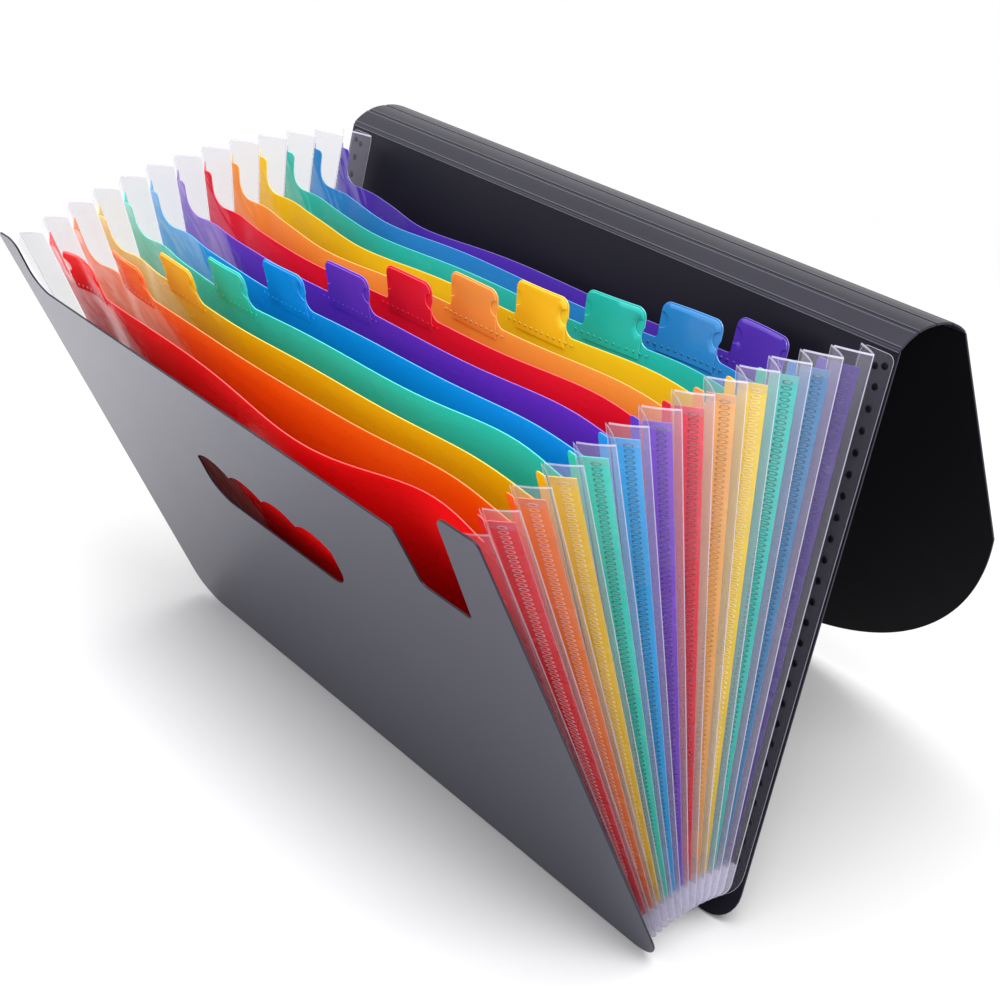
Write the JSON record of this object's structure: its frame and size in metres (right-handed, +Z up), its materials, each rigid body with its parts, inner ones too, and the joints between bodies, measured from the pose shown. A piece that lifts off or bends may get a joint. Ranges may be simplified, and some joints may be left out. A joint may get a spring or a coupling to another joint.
{
  "type": "accordion file folder",
  "caption": "Expanding accordion file standing open as a fan: dark plastic covers, folded-back flap, coloured tabbed dividers and clear pleated pockets.",
  "frame": {"origin": "middle of the footprint of the open fan, on the surface it stands on", "axes": "+X along the covers' width to the right seen from the front, +Y from the front cover to the flap, +Z up"},
  "size_m": [0.33, 0.3134, 0.2372],
  "materials": {
    "cover_black": "dark grained polypropylene sheet with a soft sheen",
    "clear_film": "clear frosted polypropylene film",
    "red": "translucent coloured polypropylene sheet",
    "orange": "translucent coloured polypropylene sheet",
    "yellow": "translucent coloured polypropylene sheet",
    "teal": "translucent coloured polypropylene sheet",
    "blue": "translucent coloured polypropylene sheet",
    "purple": "translucent coloured polypropylene sheet",
    "rear_red": "translucent coloured polypropylene sheet",
    "peach": "translucent coloured polypropylene sheet",
    "rear_yellow": "translucent coloured polypropylene sheet",
    "green": "translucent coloured polypropylene sheet",
    "rear_blue": "translucent coloured polypropylene sheet",
    "rear_purple": "translucent coloured polypropylene sheet"
  },
  "bodies": {
    "back_cover": {"back_cover": "cover_black", "rear_film_band": "clear_film"},
    "front_cover": {"front_cover": "cover_black", "front_film_band": "clear_film", "gusset_film_01": "clear_film"},
    "divider_01": {"divider_01": "red", "label_pocket_01": "red", "weld_flange_01": "red", "gusset_film_02": "clear_film"},
    "divider_02": {"divider_02": "orange", "label_pocket_02": "orange", "weld_flange_02": "orange", "gusset_film_03": "clear_film"},
    "divider_03": {"divider_03": "yellow", "label_pocket_03": "yellow", "weld_flange_03": "yellow", "gusset_film_04": "clear_film"},
    "divider_04": {"divider_04": "teal", "label_pocket_04": "teal", "weld_flange_04": "teal", "gusset_film_05": "clear_film"},
    "divider_05": {"divider_05": "blue", "label_pocket_05": "blue", "weld_flange_05": "blue", "gusset_film_06": "clear_film"},
    "divider_06": {"divider_06": "purple", "label_pocket_06": "purple", "weld_flange_06": "purple", "gusset_film_07": "clear_film"},
    "divider_07": {"divider_07": "rear_red", "label_pocket_07": "rear_red", "weld_flange_07": "rear_red", "gusset_film_08": "clear_film"},
    "divider_08": {"divider_08": "peach", "label_pocket_08": "peach", "weld_flange_08": "peach", "gusset_film_09": "clear_film"},
    "divider_09": {"divider_09": "rear_yellow", "label_pocket_09": "rear_yellow", "weld_flange_09": "rear_yellow", "gusset_film_10": "clear_film"},
    "divider_10": {"divider_10": "green", "label_pocket_10": "green", "weld_flange_10": "green", "gusset_film_11": "clear_film"},
    "divider_11": {"divider_11": "rear_blue", "label_pocket_11": "rear_blue", "weld_flange_11": "rear_blue", "gusset_film_12": "clear_film"},
    "divider_12": {"divider_12": "rear_purple", "label_pocket_12": "rear_purple", "weld_flange_12": "rear_purple", "gusset_film_13": "clear_film"},
    "spine_strip_1": {"spine_strip_1": "cover_black"},
    "spine_strip_2": {"spine_strip_2": "cover_black"},
    "spine_strip_3": {"spine_strip_3": "cover_black"},
    "spine_strip_4": {"spine_strip_4": "cover_black"},
    "flap": {"flap": "cover_black"}
  },
  "joints": [
    {"name": "fan_hinge", "type": "hinge", "parent": "back_cover", "child": "front_cover", "pos_m": [0, -0.04186, -0.00117], "axis": [-1, 0, 0], "range_deg": [0, 37.8], "deforming": ["gusset_film_01"]},
    {"name": "divider_hinge_01", "type": "hinge", "parent": "back_cover", "child": "divider_01", "pos_m": [0, -0.0406, -0.00151], "axis": [-1, 0, 0], "range_deg": [0, 35.29], "deforming": ["weld_flange_01", "gusset_film_02"]},
    {"name": "divider_hinge_02", "type": "hinge", "parent": "back_cover", "child": "divider_02", "pos_m": [0, -0.03935, -0.00185], "axis": [-1, 0, 0], "range_deg": [0, 32.7], "deforming": ["weld_flange_02", "gusset_film_03"]},
    {"name": "divider_hinge_03", "type": "hinge", "parent": "back_cover", "child": "divider_03", "pos_m": [0, -0.0381, -0.0022], "axis": [-1, 0, 0], "range_deg": [0, 30.05], "deforming": ["weld_flange_03", "gusset_film_04"]},
    {"name": "divider_hinge_04", "type": "hinge", "parent": "back_cover", "child": "divider_04", "pos_m": [0, -0.03685, -0.00256], "axis": [-1, 0, 0], "range_deg": [0, 27.33], "deforming": ["weld_flange_04", "gusset_film_05"]},
    {"name": "divider_hinge_05", "type": "hinge", "parent": "back_cover", "child": "divider_05", "pos_m": [0, -0.0356, -0.00293], "axis": [-1, 0, 0], "range_deg": [0, 24.55], "deforming": ["weld_flange_05", "gusset_film_06"]},
    {"name": "divider_hinge_06", "type": "hinge", "parent": "back_cover", "child": "divider_06", "pos_m": [0, -0.03435, -0.0033], "axis": [-1, 0, 0], "range_deg": [0, 21.71], "deforming": ["weld_flange_06", "gusset_film_07"]},
    {"name": "divider_hinge_07", "type": "hinge", "parent": "back_cover", "child": "divider_07", "pos_m": [0, -0.0331, -0.00369], "axis": [-1, 0, 0], "range_deg": [0, 18.8], "deforming": ["weld_flange_07", "gusset_film_08"]},
    {"name": "divider_hinge_08", "type": "hinge", "parent": "back_cover", "child": "divider_08", "pos_m": [0, -0.03185, -0.00409], "axis": [-1, 0, 0], "range_deg": [0, 15.83], "deforming": ["weld_flange_08", "gusset_film_09"]},
    {"name": "divider_hinge_09", "type": "hinge", "parent": "back_cover", "child": "divider_09", "pos_m": [0, -0.0306, -0.00449], "axis": [-1, 0, 0], "range_deg": [0, 12.79], "deforming": ["weld_flange_09", "gusset_film_10"]},
    {"name": "divider_hinge_10", "type": "hinge", "parent": "back_cover", "child": "divider_10", "pos_m": [0, -0.02935, -0.00491], "axis": [-1, 0, 0], "range_deg": [0, 9.69], "deforming": ["weld_flange_10", "gusset_film_11"]},
    {"name": "divider_hinge_11", "type": "hinge", "parent": "back_cover", "child": "divider_11", "pos_m": [0, -0.0281, -0.00535], "axis": [-1, 0, 0], "range_deg": [0, 6.53], "deforming": ["weld_flange_11", "gusset_film_12"]},
    {"name": "divider_hinge_12", "type": "hinge", "parent": "back_cover", "child": "divider_12", "pos_m": [0, -0.02685, -0.0058], "axis": [-1, 0, 0], "range_deg": [0, 3.3], "deforming": ["weld_flange_12", "gusset_film_13"]},
    {"name": "spine_hinge_1", "type": "hinge", "parent": "back_cover", "child": "spine_strip_1", "pos_m": [0, 0.0291, 0.23092], "axis": [1, 0, 0], "range_deg": [0, 77.98]},
    {"name": "spine_hinge_2", "type": "hinge", "parent": "spine_strip_1", "child": "spine_strip_2", "pos_m": [0, 0.03727, 0.23576], "axis": [1, 0, 0], "range_deg": [0, 38.87]},
    {"name": "spine_hinge_3", "type": "hinge", "parent": "spine_strip_2", "child": "spine_strip_3", "pos_m": [0, 0.04671, 0.23686], "axis": [1, 0, 0], "range_deg": [0, 25.92]},
    {"name": "spine_hinge_4", "type": "hinge", "parent": "spine_strip_3", "child": "spine_strip_4", "pos_m": [0, 0.05609, 0.23533], "axis": [1, 0, 0], "range_deg": [0, 35.81]},
    {"name": "flap_hinge", "type": "hinge", "parent": "spine_strip_4", "child": "flap", "pos_m": [0, 0.0642, 0.23038], "axis": [1, 0, 0], "range_deg": [0, 57.02]}
  ],
  "couplings": [
    {"joint": "divider_hinge_01", "follows": "fan_hinge", "ratio": 0.93323},
    {"joint": "divider_hinge_02", "follows": "fan_hinge", "ratio": 0.86477},
    {"joint": "divider_hinge_03", "follows": "fan_hinge", "ratio": 0.79462},
    {"joint": "divider_hinge_04", "follows": "fan_hinge", "ratio": 0.72277},
    {"joint": "divider_hinge_05", "follows": "fan_hinge", "ratio": 0.64923},
    {"joint": "divider_hinge_06", "follows": "fan_hinge", "ratio": 0.574},
    {"joint": "divider_hinge_07", "follows": "fan_hinge", "ratio": 0.49708},
    {"joint": "divider_hinge_08", "follows": "fan_hinge", "ratio": 0.41846},
    {"joint": "divider_hinge_09", "follows": "fan_hinge", "ratio": 0.33815},
    {"joint": "divider_hinge_10", "follows": "fan_hinge", "ratio": 0.25615},
    {"joint": "divider_hinge_11", "follows": "fan_hinge", "ratio": 0.17246},
    {"joint": "divider_hinge_12", "follows": "fan_hinge", "ratio": 0.087077}
  ]
}
